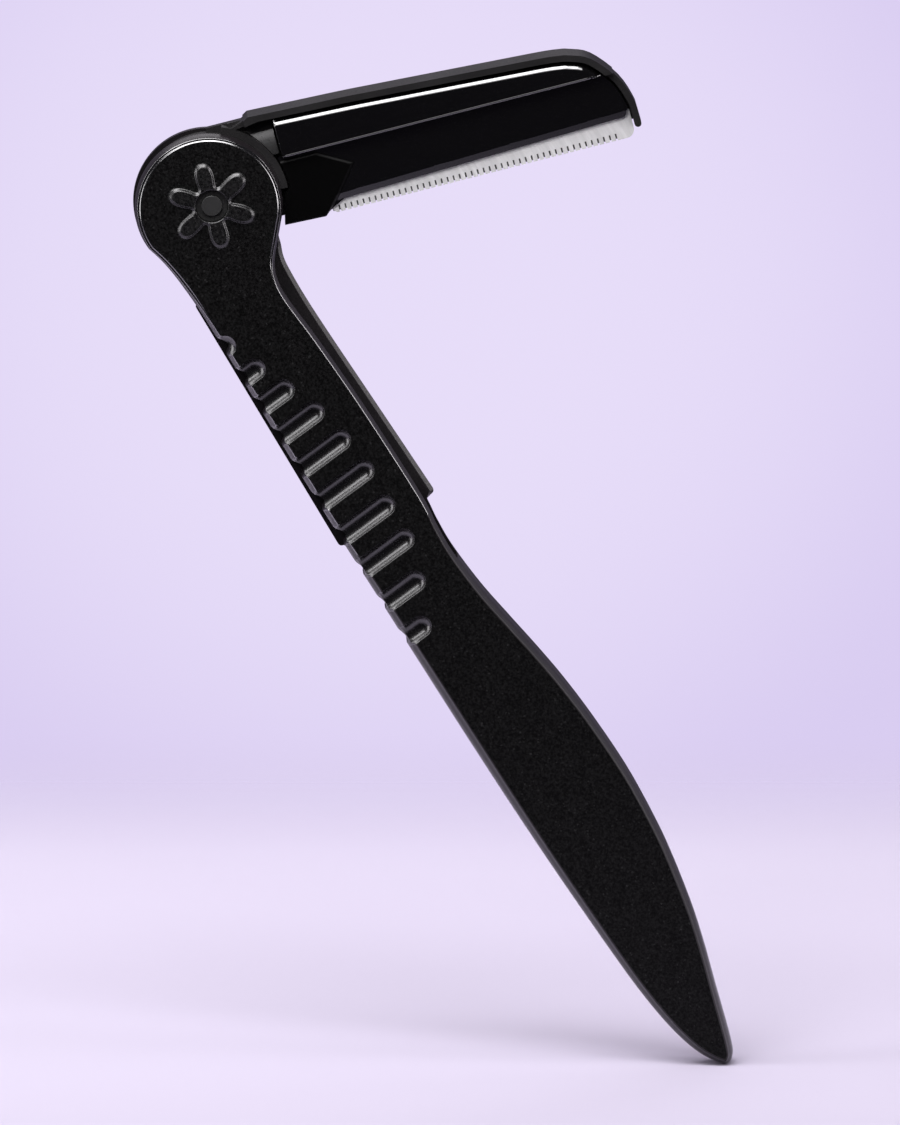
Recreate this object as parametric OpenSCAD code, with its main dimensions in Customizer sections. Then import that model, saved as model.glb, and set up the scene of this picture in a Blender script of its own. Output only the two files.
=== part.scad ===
// Folding eyebrow razor: a slim two-shell handle with a guarded steel blade on an arm that folds into it.
// Lengths are millimetres. The origin is on the pivot axis, at the flat back of the handle.
// +X runs down the handle to its tip, +Z comes out of the flowered face.

/* [Handle] */
// Distance from the pivot to the tip of the handle
reach = 118; // [100:1:140]
// Height of the belly of the handle above the pivot line
belly_h = 7.4; // [6.3:0.1:9]
// Thickness of the whole handle
handle_t = 5.2; // [4.8:0.1:7]
// Thickness of the front shell over the arm
front_t = 1.4; // [1.3:0.05:1.7]
// Thickness of the rear shell
rear_t = 1.2; // [1.1:0.05:1.5]
// Radius of the round head
head_r = 8.6; // [8.4:0.1:9.6]
// Width of the rounded edge that rings the face, at its widest
margin_w = 1; // [0.6:0.05:1.3]

/* [Grip] */
// Number of finger grooves
groove_count = 10; // [4:1:10]
// Width of a finger groove at the face
groove_w = 2.6; // [1.8:0.1:3.2]
// Depth of a finger groove
groove_d = 0.8; // [0.4:0.05:0.9]
// Lean of the grooves from square across the handle, in degrees
groove_lean = 6.5; // [0:0.5:12]

/* [Flower] */
// Number of petals round the pivot
petal_count = 6; // [4:1:8]
// Distance from the pivot to a petal's tip
petal_r = 5.2; // [4:0.05:6]
// Width of a petal
petal_w = 2.2; // [1.2:0.05:2.4]
// Height of the petals above the face
petal_h = 0.3; // [0.1:0.05:0.5]

/* [Pivot] */
// Radius of the pivot pin
pin_r = 1.2; // [0.9:0.05:1.4]
// Radius of the pin's flat rear head
pin_head_r = 2.2; // [1.8:0.05:2.8]
// Radius of the recess round the pin's front end
recess_r = 1.9; // [1.7:0.05:2.4]
// Radius of the two friction washers
washer_r = 3.4; // [2.6:0.1:3.8]
// Thickness of one friction washer
washer_t = 0.18; // [0.1:0.02:0.2]
// Angle between the handle and the arm as it stands, in degrees
open_angle = 74; // [0:1:180]

/* [Arm] */
// Length of the arm from the pivot, as a share of the handle's reach
arm_share = 0.424; // [0.38:0.002:0.43]
// Radius of the arm's hub between the two shells
hub_r = 8; // [7.6:0.05:8.1]
// Radius of the shoulder that closes the joint beside the arm
shoulder_r = 8.95; // [8.6:0.05:9.05]
// Height of the spine above the arm's centre line at the root
spine_h = 8.8; // [8.6:0.05:9.4]
// Thickness of the arm's lower part, which folds between the shells
arm_t = 2.2; // [2.1:0.02:2.3]
// Thickness of the spine, which stays outside
spine_t = 3.7; // [3.2:0.05:4]
// Distance of the crease on the cover above the arm's centre line
crease_y = 3.15; // [3.1:0.05:3.8]
// Thickness of the web that the blade lies on
web_t = 0.85; // [0.7:0.05:0.9]

/* [Blade] */
// Thickness of the steel blade
blade_t = 0.2; // [0.1:0.02:0.22]
// Distance of the cutting edge below the arm's centre line, as a share of the belly's height
edge_share = 0.662; // [0.64:0.002:0.68]
// Thickness of the guard's foil
guard_t = 0.14; // [0.08:0.02:0.16]
// Number of slots in the guard
slot_count = 47; // [20:1:55]
// Share of the slot pitch that a slot takes
slot_share = 0.25; // [0.2:0.05:0.6]

/* [Hidden] */
$fn = 72;
quarter = 90;
over = 0.5;             // overrun of the cuts
play = 0.02;            // gap between faces that lie together
pin_play = 0.05;        // radial gap of the hub on the pin
slide_gap = 0.2;        // gap beside pieces that pass each other

arm_l = reach * arm_share;
edge_y = belly_h * edge_share;

// The levels, from the flat back upwards
slot_top = handle_t - front_t;
slot_mid = (rear_t + slot_top) / 2;
arm_z0 = slot_mid - arm_t / 2;
arm_z1 = slot_mid + arm_t / 2;
spine_z0 = slot_mid - spine_t / 2;
spine_z1 = slot_mid + spine_t / 2;
web_z1 = arm_z0 + web_t;
blade_z0 = web_z1 + guard_t + 2 * play;
blade_z1 = blade_z0 + blade_t;
cover_z0 = blade_z1 + guard_t + 2 * play;

// Where the head's centre lies from the pivot
head_x = 0.1;
head_y = -0.42;

// The neck beside the head, each point as shares of head_r and margin_w
neck_low_shares = [
    [0.137, -1.036, 0.35], [0.343, -0.978, 0.36], [0.576, -0.938, 0.40], [0.878, -0.908, 0.45]];
neck_up_shares = [
    [1.180, 0.305, 0.36], [1.015, 0.413, 0.36], [0.851, 0.553, 0.36], [0.700, 0.679, 0.36]];
// The handle's outline at its widest, each point as shares of reach, belly_h and margin_w
lower_edge_shares = [
    [0.090, -1.030, 0.50], [0.135, -1.020, 0.60], [0.200, -1.015, 0.68], [0.290, -1.000, 0.68],
    [0.360, -0.980, 0.75], [0.420, -0.955, 0.85], [0.490, -0.930, 0.95], [0.590, -0.890, 1.00],
    [0.680, -0.840, 0.95], [0.760, -0.777, 0.90], [0.850, -0.683, 0.85], [0.900, -0.610, 0.85],
    [0.940, -0.507, 0.85], [0.970, -0.373, 0.85], [0.990, -0.204, 0.80], [1.001, -0.030, 0.80]];
upper_edge_shares = [
    [0.996, 0.125, 0.65], [0.981, 0.223, 0.55], [0.930, 0.440, 0.50], [0.890, 0.613, 0.50],
    [0.850, 0.760, 0.48], [0.800, 0.890, 0.45], [0.760, 0.960, 0.42], [0.700, 1.000, 0.42],
    [0.640, 0.955, 0.42], [0.590, 0.873, 0.42], [0.550, 0.770, 0.42], [0.510, 0.648, 0.42],
    [0.466, 0.520, 0.42], [0.420, 0.445, 0.40], [0.390, 0.448, 0.38], [0.352, 0.482, 0.36],
    [0.250, 0.434, 0.36], [0.170, 0.352, 0.36], [0.120, 0.275, 0.36], [0.100, 0.285, 0.36]];
head_from = 52;         // polar angle where the head's arc starts
head_to = 276;          // polar angle where it ends
head_steps = 28;
span_steps = 4;

// The rear shell's ledge beside the neck, as shares of head_r, and on to its square end, as shares of
// reach and belly_h
ledge_neck_shares = [[0.851, 0.553], [1.036, 0.487], [1.207, 0.431]];
ledge_end_share = 0.3645;
ledge_shares = [[0.105, 0.478], [0.135, 0.474], [0.180, 0.500], [0.270, 0.572], [ledge_end_share, 0.645]];
ledge_end = reach * ledge_end_share;
ledge_corner_r = 0.5;
corner_steps = 5;
ledge_bevel = 0.45;     // width and height of the bevel on the ledge
ledge_bevel_h = 0.35;
lip_share = 1.075;
lip_y = -belly_h * lip_share; // lower edge of the rear shell under the grip
lip_start_share = 0.085; // where it starts
lip_x0 = reach * lip_start_share;
rear_bevel_share = 0.4; // bevel of the rear shell's edge, as a share of its thickness

// How the side swells from the face's edge to the widest line: [share of the drop, share of the margin]
side_shares = [[0, 0], [0.16, 0.5], [0.5, 0.92], [1, 1]];
face_chamfer = 0.2;     // small chamfer on the face's edge

// The slot for the arm
slot_floor_gap = 0.8;
slot_floor_y = -(edge_y + slot_floor_gap);
slot_end_gap = 0.5;
slot_end_r = arm_l + slot_end_gap;
hub_room_gap = 1.8;     // the hub's room opens this far past the head
hub_room_r = head_r + hub_room_gap;

// Grooves: where each closed end lies, as shares of reach and belly_h
groove_shares = [[0.1275, -0.78], [0.162, -0.57], [0.194, -0.345], [0.228, -0.125], [0.265, 0.005],
                 [0.303, 0.072], [0.3435, 0.07], [0.382, 0.058], [0.424, -0.13], [0.466, -0.415]];
groove_r = (pow(groove_w / 2, 2) + groove_d * groove_d) / (2 * groove_d);
groove_run_share = 2;   // a groove's length, as a share of belly_h, well past the handle's edge
deep_scallops = 7;      // the first ones show the rear shell through the edge
scallop_r = 1.25;
scallop_share = 0.122;
late_scallop_share = 0.067;
scallop_d = belly_h * scallop_share; // depth of a deep scallop
late_scallop_d = belly_h * late_scallop_share; // depth of those past the ledge

flower_turn = 44;       // polar angle of the first petal
flower_ring_w = 0.35;   // rim of the flower round the recess
petal_inner_share = 0.5; // a petal starts at this share of the recess's radius
petal_steps = 24;
petal_lean_share = 0.125; // how much wider a petal is towards its tip

recess_d = 0.9;
collar_t = 0.35;
pin_end_drop = 0.25;    // the pin ends this far below the petals
pin_head_t = 0.6;

// The stop: a lug on the rear shell that runs in an arc groove of the hub
lug_track_r = 5.6;
lug_r = 0.45;
lug_h = 0.6;
lug_angle = -128;       // polar angle of the lug on the handle
lug_gap = 0.15;
lug_gap_angle = 7;      // room past the lug at each end of its track, as an angle
open_turn = 180;        // the arm in line with the handle

// The arm in its own frame: x from the pivot towards its end, y up to the spine
spine_shares = [[0.130, 1.003], [0.250, 0.975], [0.372, 0.946], [0.520, 0.896], [0.668, 0.845],
                [0.750, 0.817], [0.816, 0.794], [0.852, 0.772], [0.880, 0.738], [0.926, 0.618],
                [0.976, 0.265], [0.9985, -0.113]];
root_spine_shares = [[0.030, 0.948], [0.114, 0.948]]; // before the small step in the spine
tip_share = 0.694;
tip_y = -edge_y * tip_share; // lowest point of the end of the frame
tip_w = 0.8;            // width of that end
step_x = 7.4;           // the spine is smooth from here on
rim_x0 = 3;             // the rim starts here, inside the hub
rim_root_y = 7.3;
rim_w = 0.75;           // width of the rim round the cover
spine_x0 = 5.9;         // the thick spine starts here, clear of the head
root_x0 = 4;            // the root beside the hub starts here
root_gap = 0.45;        // and lies this far above the crease
web_x0 = 7.2;           // the web's lower edge starts here
cover_gap = 0.22;       // dark gap between the rim and the cover
web_drop = 1.1;         // the web ends this far above the edge
shoulder_from = -3;     // polar angles of the shoulder, in the arm's frame
shoulder_to = 68;
root_drop = 0.9;        // the root beside the hub lies this far below the hub's face
cover_x0 = 9.2;         // left end of the cover
cover_bottom_x0 = 14.9;
cover_bottom_shares = [0.714, 0.490]; // its lower edge at each end, as shares of edge_y
cover_end_gap = 1.6;    // the cover's lower edge stops this far short of the arm's end
cover_bottom_x = [cover_bottom_x0, arm_l - cover_end_gap];
cover_bottom = [for (q = cover_bottom_shares) -edge_y * q];
cover_bevel = 0.85;     // width of the sloping lower margin
cover_bevel_h = 0.35;
cover_shoulder_to = 20; // polar angle where the cover leaves the shoulder
cover_top_bevel = 0.5;
cover_step_w = 0.08;    // the upper body stands this far inside the lower one
step_bevel = 0.3;
heel_x = [7.5, 12.4, 12.9];
heel_shares = [0.969, 1.010, 0.918]; // the heel's lower points, as shares of edge_y
heel_root = [8.35, -1.1];
blade_x0 = 13.3;
blade_end_gap = 1.9;    // the blade stops this far short of the arm's end
blade_x1 = arm_l - blade_end_gap;
blade_top_y = 0.9;
blade_bevel = 0.7;
blade_back_gap = 0.03;  // the blade's edge lies this far inside the guard's fold
blade_back = guard_t + blade_back_gap;
guard_top_share = 0.347;
guard_top_y = -edge_y * guard_top_share;
guard_x0 = 13.2;
guard_end_gap = 1;      // the guard stops this far short of the arm's end
guard_x1 = arm_l - guard_end_gap;
guard_corner_r = 1;
slot_h = 0.8;
slot_x0 = 14;
peg_shares = [0.38, 0.63, 0.88]; // where the pegs are, as shares of arm_l
peg_x = [for (q = peg_shares) q * arm_l];
peg_y = -0.3;
peg_r = 0.6;

// A smooth curve through the knots k, n points to a span; the first and last knots only steer it
function bend(a, b, c, d, t) =
    (2 * b + (c - a) * t + (2 * a - 5 * b + 4 * c - d) * t * t + (3 * b - a - 3 * c + d) * t * t * t) / 2;
function curve(k, n) = concat(
    [for (i = [1 : len(k) - 3]) for (j = [0 : n - 1]) bend(k[i - 1], k[i], k[i + 1], k[i + 2], j / n)],
    [k[len(k) - 2]]);
function flat(p) = [p[0], p[1]];
function arc(c, r, a0, a1, n) = [for (i = [0 : n]) let (a = a0 + (a1 - a0) * i / n) c + r * [cos(a), sin(a)]];
// The inward normal at point i of a ring that runs anticlockwise
function inward(p, i) =
    let (n = len(p), t = flat(p[(i + 1) % n]) - flat(p[(i + n - 1) % n]), l = norm(t)) [-t[1], t[0]] / l;
function inset(p, d) = [for (i = [0 : len(p) - 1]) flat(p[i]) + d * inward(p, i)];
function level(p, z) = [for (q = p) [q[0], q[1], z]];
// A ring whose points are pulled in by their third number
function pulled(p) = [for (i = [0 : len(p) - 1]) flat(p[i]) + p[i][2] * inward(p, i)];
function reversed(p) = [for (i = [len(p) - 1 : -1 : 0]) p[i]];
function wedge(a0, a1, r) = concat([[0, 0]], arc([0, 0], r, a0, a1, 4));

// A closed solid through rings of equal length, from the lowest to the highest. The cap is its end's faces
module loft(rings, cap) {
    n = len(rings[0]);
    m = len(rings);
    polyhedron(
        points = [for (r = rings) for (p = r) p],
        faces = concat(
            cap,
            [for (k = [0 : m - 2]) for (i = [0 : n - 1]) let (j = (i + 1) % n)
                [k * n + i, (k + 1) * n + i, (k + 1) * n + j, k * n + j]],
            [for (f = cap) [for (i = reversed(f)) (m - 1) * n + i]]),
        convexity = 8);
}
// The cap of a ring that starts at its left end and has as many points below as above
function paired_cap(n) = concat(
    [[0, 1, n - 1]],
    [for (i = [1 : n / 2 - 2]) [i, i + 1, n - i - 1, n - i]],
    [[n / 2 - 1, n / 2, n / 2 + 1]]);
// The cap of a ring whose first point sees all the others
function fan_cap(n) = [for (i = [1 : n - 2]) [0, i, i + 1]];

// The handle's widest outline, with the margin's width as the third number
function sized(k) = [for (q = k) [q[0] * reach, q[1] * belly_h, q[2] * margin_w]];
function necked(k) = [for (q = k) [q[0] * head_r, q[1] * head_r, q[2] * margin_w]];
head_margin = neck_low_shares[0][2] * margin_w;
head_ring = [for (p = arc([head_x, head_y], head_r, head_from, head_to, head_steps))
    [p[0], p[1], head_margin]];
low_knots = concat(necked(neck_low_shares), sized(lower_edge_shares));
up_knots = concat(sized(upper_edge_shares), necked(neck_up_shares));
edge_curve = curve(concat([head_ring[head_steps]], low_knots, up_knots, [head_ring[0], head_ring[1]]),
                   span_steps);
head_left = round(head_steps * (180 - head_from) / (head_to - head_from));
tip_i = (len(low_knots) - 1) * span_steps;
// The lower side from the head's left end to just short of the tip, and the whole upper side, as drawn
low_side = concat([for (i = [head_left + 1 : head_steps]) head_ring[i]],
                  [for (i = [0 : tip_i - 1]) edge_curve[i]]);
up_side = concat([for (i = [head_left : -1 : 0]) head_ring[i]],
                 [for (i = [len(edge_curve) - 1 : -1 : tip_i]) edge_curve[i]]);
low_table = [for (p = low_side) [p[0], p[1]]];
up_table = [for (p = up_side) [p[0], p[1]]];
up_margins = [for (p = up_side) [p[0], p[2]]];
function up_at(x) = lookup(x, up_table);
// The outline, anticlockwise from the head's left end, with a point above for each point below
outline = concat([head_ring[head_left]], low_side, [edge_curve[tip_i]],
                 [for (p = reversed(low_side)) [p[0], up_at(p[0]), lookup(p[0], up_margins)]]);
function eased(share) = [for (i = [0 : len(outline) - 1])
    flat(outline[i]) + (1 - share) * outline[i][2] * inward(outline, i)];

module pin_hole(r, z0, z1) {
    translate([0, 0, z0]) cylinder(r = r, h = z1 - z0);
}

module slot_space() {
    translate([0, 0, rear_t - over]) linear_extrude(slot_top - rear_t + over) union() {
        intersection() {
            circle(r = slot_end_r, $fn = 180);
            translate([0, slot_floor_y]) square([reach, reach]);
        }
        circle(r = hub_room_r);
    }
}

module groove(i) {
    p = [groove_shares[i][0] * reach, groove_shares[i][1] * belly_h];
    translate([p[0], p[1] - groove_w / 2, handle_t - groove_d + groove_r]) rotate(groove_lean)
        union() {
            sphere(r = groove_r, $fn = 40);
            rotate([quarter, 0, 0]) cylinder(r = groove_r, h = belly_h * groove_run_share, $fn = 40);
        }
}

// The handle's lower edge under groove i
function edge_y_at(x) = lookup(x, low_table);
function scallop_x(i) = let (x = groove_shares[i][0] * reach, y = groove_shares[i][1] * belly_h)
    x + (y - groove_w / 2 - edge_y_at(x)) * tan(groove_lean);
module scallop(i) {
    d = i < deep_scallops ? scallop_d : late_scallop_d;
    x = scallop_x(i);
    translate([x, edge_y_at(x) + d - scallop_r, i < deep_scallops ? rear_t - over : -over])
        cylinder(r = scallop_r, h = handle_t + 2 * over);
}

module petal() {
    inner = recess_r * petal_inner_share;
    mid = (inner + petal_r) / 2;
    half = (petal_r - inner) / 2;
    polygon([for (i = [0 : petal_steps - 1]) let (a = 360 * i / petal_steps, w = petal_w / 2)
        [mid + half * cos(a), w * sin(a) * (1 + petal_lean_share * cos(a))]]);
}

module flower() {
    linear_extrude(petal_h + front_t / 2) union() {
        circle(r = recess_r + flower_ring_w);
        for (i = [0 : petal_count - 1]) rotate(flower_turn + 360 * i / petal_count) petal();
    }
}

module front_shell() {
    drop = handle_t - face_chamfer - rear_t;
    color("#1d1d20") difference() {
        union() {
            loft(concat(
                [for (k = [len(side_shares) - 1 : -1 : 0])
                    level(eased(side_shares[k][1]), handle_t - face_chamfer - drop * side_shares[k][0])],
                [level(inset(eased(0), face_chamfer), handle_t)]), paired_cap(len(outline)));
            translate([0, 0, handle_t - front_t / 2]) flower();
        }
        slot_space();
        for (i = [0 : groove_count - 1]) {
            groove(i);
            scallop(i);
        }
        pin_hole(pin_r + play, 0, handle_t + petal_h + over);
        pin_hole(recess_r, handle_t + petal_h - recess_d, handle_t + petal_h + over);
    }
}

// The rear shell's own outline: the handle's, with a ledge above and a lip below.
// The third number is the width of the bevel that the ledge has on its upper edge
ledge_knots = concat([for (q = ledge_neck_shares) q * head_r],
                     [for (q = ledge_shares) [q[0] * reach, q[1] * belly_h]]);
ledge_table = curve(concat([up_table[head_left]], ledge_knots, [ledge_knots[len(ledge_knots) - 1]]),
                    span_steps);
function corner_fall(x) = let (d = x - ledge_end + ledge_corner_r)
    d > 0 ? ledge_corner_r - sqrt(max(pow(ledge_corner_r, 2) - d * d, 0)) : 0;
function rear_low(x) = x > ledge_end || x < lip_x0 ? lookup(x, low_table) : lip_y + corner_fall(x);
function rear_up(x) = x > ledge_end || x < ledge_knots[0][0] ? up_at(x)
    : max(lookup(x, ledge_table), up_at(x)) - corner_fall(x);
rear_xs = concat(
    [for (p = low_side) if (p[0] < ledge_end - ledge_corner_r - play) p[0]],
    [for (i = [0 : corner_steps]) ledge_end - ledge_corner_r * (1 - sin(quarter * i / corner_steps))],
    [for (p = low_side) if (p[0] > ledge_end + play) p[0]]);
rear_outline = concat(
    [[head_x - head_r, head_y, 0]],
    [for (x = rear_xs) [x, rear_low(x), 0]],
    [[edge_curve[tip_i][0], edge_curve[tip_i][1], 0]],
    [for (x = reversed(rear_xs)) [x, rear_up(x), x > ledge_end || x < ledge_knots[0][0] ? 0 : ledge_bevel]]);

module rear_shell() {
    bevel = rear_t * rear_bevel_share;
    color("#232326") difference() {
        union() {
            loft([level(inset(rear_outline, bevel / 2), 0), level(rear_outline, bevel),
                  level(rear_outline, rear_t - ledge_bevel_h), level(pulled(rear_outline), rear_t)],
                 paired_cap(len(rear_outline)));
            rotate(lug_angle) translate([lug_track_r, 0, rear_t - over])
                cylinder(r = lug_r, h = lug_h + over);
        }
        for (i = [deep_scallops : 1 : groove_count - 1]) scallop(i);
        pin_hole(pin_r + play, -over, rear_t + over);
        pin_hole(pin_head_r + play, -over, pin_head_t + play);
    }
}

// The arm, drawn along +X
function arm_point(q) = [q[0] * arm_l, q[1] * spine_h];
spine_curve = curve(concat([arm_point(spine_shares[0])], [for (q = spine_shares) arm_point(q)],
                           [[arm_l, tip_y]]), span_steps);
frame_top = concat([for (q = root_spine_shares) arm_point(q)], spine_curve);
// The line a distance d inside the spine, from just past its small step to the end
smooth_top = [for (p = spine_curve) if (p[0] > step_x) p];
function shifted_in(d) = [for (i = [0 : len(smooth_top) - 1]) let (
    a = smooth_top[max(i - 1, 0)], b = smooth_top[min(i + 1, len(smooth_top) - 1)], t = (b - a) / norm(b - a))
    smooth_top[i] + d * [t[1], -t[0]]];
rim_line = concat([[rim_x0, rim_root_y]], shifted_in(rim_w));
web_low_y = -(edge_y - web_drop);
frame_low = [[arm_l - tip_w, web_low_y + tip_w], [blade_x0, web_low_y], [web_x0, web_low_y]];
tip_round = arc([arm_l - tip_w / 2, tip_y], tip_w / 2, 0, -180, 8);

module arm_outline() {
    polygon(concat(frame_top, tip_round, frame_low, [[0, 0]]));
}

module hub_outline() {
    circle(r = hub_r);
    intersection() {
        circle(r = shoulder_r);
        polygon(wedge(shoulder_from, shoulder_to, 2 * shoulder_r));
    }
}

// The stop lug's track, open where the lug runs as the arm swings
module hub_track() {
    closed_from = lug_angle + lug_gap_angle;
    closed_to = lug_angle + 2 * 180 - open_turn - lug_gap_angle;
    translate([0, 0, arm_z0 - over]) linear_extrude(lug_h + over + lug_gap) difference() {
        circle(r = lug_track_r + lug_r + lug_gap);
        circle(r = lug_track_r - lug_r - lug_gap);
        polygon(wedge(closed_from, closed_to, 2 * hub_r));
    }
}

module rim_outline() {
    polygon(concat([for (p = frame_top) if (p[0] > rim_x0) p], tip_round, reversed(rim_line)));
}

module spine_outline() {
    intersection() {
        rim_outline();
        translate([spine_x0, crease_y]) square([arm_l, spine_h]);
    }
}

// The root between the hub and the cover
module root_outline() {
    intersection() {
        arm_outline();
        translate([root_x0, crease_y + root_gap]) square([cover_x0 - cover_gap - root_x0, spine_h]);
    }
}

module layer(z0, z1) {
    translate([0, 0, z0]) linear_extrude(z1 - z0) children();
}

module arm_frame() {
    root_z1 = arm_z1 - root_drop;
    color("#2a2a2d") rotate(open_angle) difference() {
        union() {
            layer(spine_z0, arm_z0) spine_outline();
            layer(arm_z0, web_z1) union() {
                arm_outline();
                hub_outline();
            }
            layer(web_z1, root_z1) union() {
                hub_outline();
                rim_outline();
                root_outline();
            }
            layer(root_z1, arm_z1) union() {
                hub_outline();
                rim_outline();
            }
            layer(arm_z1, spine_z1) spine_outline();
        }
        pin_hole(pin_r + pin_play, 0, handle_t);
        hub_track();
        for (x = peg_x) translate([x, peg_y, 0]) cylinder(r = peg_r + play, h = handle_t, $fn = 24);
    }
}

cover_top = [for (p = shifted_in(rim_w + cover_gap)) if (p[0] > cover_x0) p];
cover_end = [for (p = cover_top) if (p[1] > crease_y) p];
cover_shoulder = arc([0, 0], shoulder_r + slide_gap, cover_shoulder_to, shoulder_from, 6);
heel = [for (i = [0 : len(heel_x) - 1]) [heel_x[i], -edge_y * heel_shares[i]]];
// The heel's right side runs to the start of the cover's lower edge, and on across its sloping margin
heel_last = heel[len(heel) - 1];
heel_lean = (cover_bottom_x[0] - heel_last[0]) / (cover_bottom[0] - heel_last[1]);
heel_meets = [cover_bottom_x[0], cover_bottom[0]] + cover_bevel * [heel_lean, 1];
// The cover's outline without its sloping margin
cover_low_ring = concat(
    [[cover_x0, cover_end[0][1]], [cover_x0, crease_y + step_bevel]], cover_shoulder, [heel_root],
    heel, [heel_meets, [cover_bottom_x[1], cover_bottom[1] + cover_bevel]],
    [for (p = reversed(cover_top)) if (p[1] > cover_bottom[1] + cover_bevel + play && p[0] > cover_x0 + over)
        p]);
// The upper body's outline, above the crease and clear of its own corners, so that its bevel has room
cover_edge = [for (p = cover_end)
    if (p[0] > cover_x0 + cover_top_bevel && p[1] > crease_y + cover_top_bevel + step_bevel) p];
cover_up_ring = inset(concat(
    [[cover_x0, crease_y]],
    [[cover_end[len(cover_end) - 1][0], crease_y]],
    reversed(cover_edge),
    [[cover_x0, cover_end[0][1]]]), cover_step_w);

// The sloping strip along the cover's lower edge
module cover_margin() {
    run = cover_bottom_x[1] - cover_bottom_x[0];
    translate([cover_bottom_x[0], cover_bottom[0], 0])
        rotate([quarter, 0, quarter + atan2(cover_bottom[1] - cover_bottom[0], run)])
            translate([0, 0, -over]) linear_extrude(run + over)
                polygon([[0, cover_z0], [cover_bevel + over, cover_z0], [cover_bevel + over, arm_z1],
                         [cover_bevel, arm_z1], [0, arm_z1 - cover_bevel_h]]);
}

module arm_cover() {
    color("#0d0d0f") rotate(open_angle) union() {
        layer(cover_z0, arm_z1) polygon(cover_low_ring);
        cover_margin();
        loft([level(cover_up_ring, arm_z1 - over), level(cover_up_ring, spine_z1 - cover_top_bevel),
              level(inset(cover_up_ring, cover_top_bevel), spine_z1)], fan_cap(len(cover_up_ring)));
        for (x = peg_x)
            translate([x, peg_y, arm_z0]) cylinder(r = peg_r, h = cover_z0 - arm_z0 + play, $fn = 24);
    }
}

module blade() {
    color("#d7d8dc") rotate(open_angle) difference() {
        translate([blade_x0, 0, blade_z0]) rotate([quarter, 0, quarter]) linear_extrude(blade_x1 - blade_x0)
            polygon([[blade_top_y, 0], [blade_top_y, blade_t], [-edge_y + blade_back + blade_bevel, blade_t],
                     [-edge_y + blade_back, blade_t / 2], [-edge_y + blade_back + blade_bevel, 0]]);
        for (x = peg_x) translate([x, peg_y, 0]) cylinder(r = peg_r + play, h = handle_t, $fn = 24);
    }
}

module guard_leaf() {
    polygon(concat(
        [[guard_x0, guard_top_y], [guard_x0, -edge_y + guard_corner_r / 2],
         [guard_x0 + guard_corner_r / 2, -edge_y]],
        arc([guard_x1 - guard_corner_r, -edge_y + guard_corner_r], guard_corner_r, -quarter, 0, 8),
        [[guard_x1, guard_top_y]]));
}

module skin_guard() {
    pitch = (cover_bottom_x[1] - guard_corner_r - slot_x0) / slot_count;
    low = web_z1 + play;
    high = cover_z0 - play;
    color("#e6e6ea") rotate(open_angle) difference() {
        translate([0, 0, low]) linear_extrude(high - low) guard_leaf();
        translate([guard_x0 - over, -edge_y + guard_t, low + guard_t])
            cube([guard_x1 - guard_x0 + 2 * over, edge_y, high - low - 2 * guard_t]);
        for (i = [0 : slot_count - 1])
            translate([slot_x0 + pitch * i, -edge_y - over, low - over])
                cube([pitch * slot_share, slot_h + over, high - low + 2 * over]);
    }
}

module pivot_pin() {
    color("#5b5b60") union() {
        cylinder(r = pin_r, h = handle_t + petal_h - pin_end_drop);
        cylinder(r = pin_head_r, h = pin_head_t);
    }
}

module ring(r0, r1, t) {
    difference() {
        cylinder(r = r1, h = t);
        translate([0, 0, -over]) cylinder(r = r0, h = t + 2 * over);
    }
}

module pin_collar() {
    color("#3a3a3e") translate([0, 0, handle_t + petal_h - recess_d])
        ring(pin_r + play / 2, recess_r - play, collar_t);
}

module front_washer() {
    color("#c9c9cc") translate([0, 0, slot_top - washer_t]) ring(pin_r + pin_play, washer_r, washer_t);
}

module rear_washer() {
    color("#c9c9cc") translate([0, 0, rear_t]) ring(pin_r + pin_play, washer_r, washer_t);
}

front_shell();
rear_shell();
arm_frame();
arm_cover();
blade();
skin_guard();
pivot_pin();
pin_collar();
front_washer();
rear_washer();
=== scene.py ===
import math

import bmesh
import bpy
import numpy as np
from mathutils import Matrix, Vector
from mathutils.geometry import delaunay_2d_cdt


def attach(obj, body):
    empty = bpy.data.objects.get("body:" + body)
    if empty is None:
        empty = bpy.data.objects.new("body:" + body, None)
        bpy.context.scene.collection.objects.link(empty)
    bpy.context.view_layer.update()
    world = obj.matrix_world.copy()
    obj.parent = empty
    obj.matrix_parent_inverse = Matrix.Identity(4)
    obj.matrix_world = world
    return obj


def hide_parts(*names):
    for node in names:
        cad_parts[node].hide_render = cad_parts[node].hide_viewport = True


# Folding eyebrow razor: black two-shell handle, gloss cover, guarded steel blade.
# All lengths below are millimetres; mm turns them into metres.

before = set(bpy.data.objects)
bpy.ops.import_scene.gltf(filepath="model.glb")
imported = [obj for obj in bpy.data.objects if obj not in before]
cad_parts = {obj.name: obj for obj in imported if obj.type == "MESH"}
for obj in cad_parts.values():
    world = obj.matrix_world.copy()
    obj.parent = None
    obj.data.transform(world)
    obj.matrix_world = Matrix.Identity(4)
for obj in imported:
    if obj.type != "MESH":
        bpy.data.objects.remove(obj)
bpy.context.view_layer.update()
print("frame loaded")

mm = 0.001
shared = dict(armTurn=74.0, skin=0.03, sharpAngle=38.0, easeAngle=32.0, easeSegments=3, flatAngle=0.5,
              mergeGap=1e-6, curveSteps=16)


# Helpers for curves

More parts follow.
